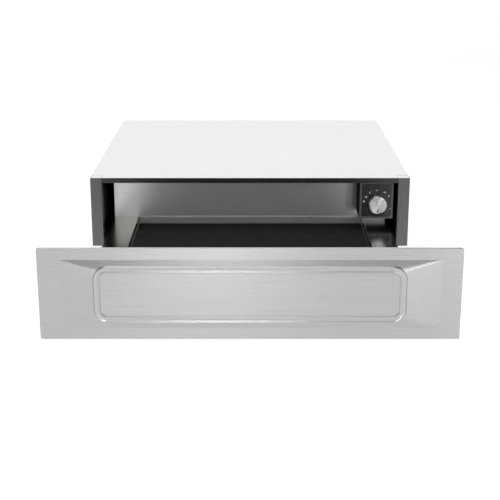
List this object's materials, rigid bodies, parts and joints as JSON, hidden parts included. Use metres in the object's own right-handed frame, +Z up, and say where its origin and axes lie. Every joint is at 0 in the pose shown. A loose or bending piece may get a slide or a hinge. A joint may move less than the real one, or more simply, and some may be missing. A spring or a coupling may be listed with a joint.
{
  "type": "warming drawer",
  "caption": "Low warming drawer with a stamped stainless front, a rimmed tray on telescopic slides, a corner control box with one knob and a rear hot-air unit.",
  "frame": {"origin": "centre of the housing's underside, which rests on a niche floor when the feet are unscrewed", "axes": "+Z up, the drawer opens towards -Y, +X is the side with the control box"},
  "size_m": [0.597, 0.9878, 0.137],
  "materials": {
    "stainless_front": "fine horizontal brushed stainless steel",
    "stainless_tray": "brushed stainless steel",
    "dark_steel": "dark brushed steel",
    "galvanised_steel": "galvanised sheet",
    "blackened_steel": "black enamelled sheet",
    "zinc_steel": "bright zinc plated",
    "ball_steel": "polished",
    "screw_steel": "bright",
    "silicone_mat": "matt, fine texture",
    "silicone_seal": "satin silicone",
    "foot_rubber": "matt moulded rubber",
    "mineral_wool": "fibrous mat",
    "fascia_black": "gloss black",
    "bezel_grey": "satin grey",
    "turned_aluminium": "turned face, fine concentric lines",
    "fan_aluminium": "mill finish",
    "element_sheath": "heat-tinted tube",
    "lamination": "stacked laminations",
    "copper_coil": "enamelled winding",
    "copper_tube": "drawn copper",
    "black_plastic": "moulded, fine texture",
    "white_plastic": "moulded"
  },
  "bodies": {
    "housing": {"bulb_clips": "blackened_steel", "bulkhead": "blackened_steel", "control_bezel": "bezel_grey", "control_box": "blackened_steel", "control_fascia": "fascia_black", "cord_gland": "black_plastic", "cover_screws": "screw_steel", "drawer_switch": "black_plastic", "feet": "foot_rubber", "floor_pan": "galvanised_steel", "foot_studs": "screw_steel", "front_post_left": "dark_steel", "front_post_right": "dark_steel", "front_top_rail": "dark_steel", "heating_element": "element_sheath", "inner_liner": "blackened_steel", "insulation_sides": "mineral_wool", "insulation_top": "mineral_wool", "latch_body": "black_plastic", "motor_bearings": "zinc_steel", "motor_coil": "copper_coil", "motor_plate": "blackened_steel", "motor_stator": "lamination", "rear_cover": "galvanised_steel", "safety_cutout": "black_plastic", "side_wall_left": "galvanised_steel", "side_wall_right": "galvanised_steel", "slide_bracket_left": "zinc_steel", "slide_bracket_right": "zinc_steel", "slide_outer_left": "zinc_steel", "slide_outer_right": "zinc_steel", "slide_rivets": "zinc_steel", "terminal_block": "white_plastic", "thermostat_body": "black_plastic", "thermostat_bulb": "copper_tube", "top_cover": "galvanised_steel"},
    "drawer": {"front_skin": "stainless_front", "front_backing": "galvanised_steel", "front_insulation": "mineral_wool", "front_seal": "silicone_seal", "drawer_tray": "stainless_tray", "drawer_rear_wall": "stainless_tray", "drawer_mat": "silicone_mat", "tray_stiffeners": "stainless_tray", "drawer_front_screws": "screw_steel", "latch_striker": "zinc_steel", "slide_inner_left": "zinc_steel", "slide_inner_right": "zinc_steel"},
    "knob_body": {"knob": "turned_aluminium", "thermostat_spindle": "screw_steel"},
    "fan_body": {"fan_impeller": "fan_aluminium", "fan_shaft": "screw_steel"},
    "latch_plunger_body": {"latch_plunger": "white_plastic"},
    "switch_button_body": {"switch_button": "white_plastic"},
    "slide_middle_left_body": {"slide_middle_left": "zinc_steel"},
    "slide_middle_right_body": {"slide_middle_right": "zinc_steel"},
    "ball_cage_inner_left_body": {"ball_cage_inner_left": "ball_steel"},
    "ball_cage_inner_right_body": {"ball_cage_inner_right": "ball_steel"},
    "ball_cage_outer_left_body": {"ball_cage_outer_left": "ball_steel"},
    "ball_cage_outer_right_body": {"ball_cage_outer_right": "ball_steel"}
  },
  "joints": [
    {"name": "drawer_slide", "type": "slide", "parent": "housing", "child": "drawer", "axis": [0, 1, 0], "range_m": [0, 0.4]},
    {"name": "knob_turn", "type": "hinge", "parent": "housing", "child": "knob_body", "pos_m": [0.22475, -0.2675, 0.0755], "axis": [0, 1, 0], "range_deg": [0, 290]},
    {"name": "fan_spin", "type": "hinge", "parent": "housing", "child": "fan_body", "pos_m": [0, 0.25, 0.058], "axis": [0, 1, 0], "continuous": true},
    {"name": "latch_press", "type": "slide", "parent": "housing", "child": "latch_plunger_body", "axis": [0, 1, 0], "range_m": [0, 0.006], "stiffness_N_per_m": 400, "springref_m": -0.003},
    {"name": "switch_press", "type": "slide", "parent": "housing", "child": "switch_button_body", "axis": [0, 1, 0], "range_m": [0, 0.003], "stiffness_N_per_m": 250, "springref_m": -0.002},
    {"name": "middle_slide_left", "type": "slide", "parent": "housing", "child": "slide_middle_left_body", "axis": [0, 1, 0], "range_m": [0, 0.2]},
    {"name": "cage_outer_left", "type": "slide", "parent": "housing", "child": "ball_cage_outer_left_body", "axis": [0, 1, 0], "range_m": [0, 0.1]},
    {"name": "cage_inner_left", "type": "slide", "parent": "housing", "child": "ball_cage_inner_left_body", "axis": [0, 1, 0], "range_m": [0, 0.3]},
    {"name": "middle_slide_right", "type": "slide", "parent": "housing", "child": "slide_middle_right_body", "axis": [0, 1, 0], "range_m": [0, 0.2]},
    {"name": "cage_outer_right", "type": "slide", "parent": "housing", "child": "ball_cage_outer_right_body", "axis": [0, 1, 0], "range_m": [0, 0.1]},
    {"name": "cage_inner_right", "type": "slide", "parent": "housing", "child": "ball_cage_inner_right_body", "axis": [0, 1, 0], "range_m": [0, 0.3]}
  ],
  "couplings": [
    {"joint": "middle_slide_left", "follows": "drawer_slide", "ratio": 0.5},
    {"joint": "cage_outer_left", "follows": "drawer_slide", "ratio": 0.25},
    {"joint": "cage_inner_left", "follows": "drawer_slide", "ratio": 0.75},
    {"joint": "middle_slide_right", "follows": "drawer_slide", "ratio": 0.5},
    {"joint": "cage_outer_right", "follows": "drawer_slide", "ratio": 0.25},
    {"joint": "cage_inner_right", "follows": "drawer_slide", "ratio": 0.75}
  ]
}
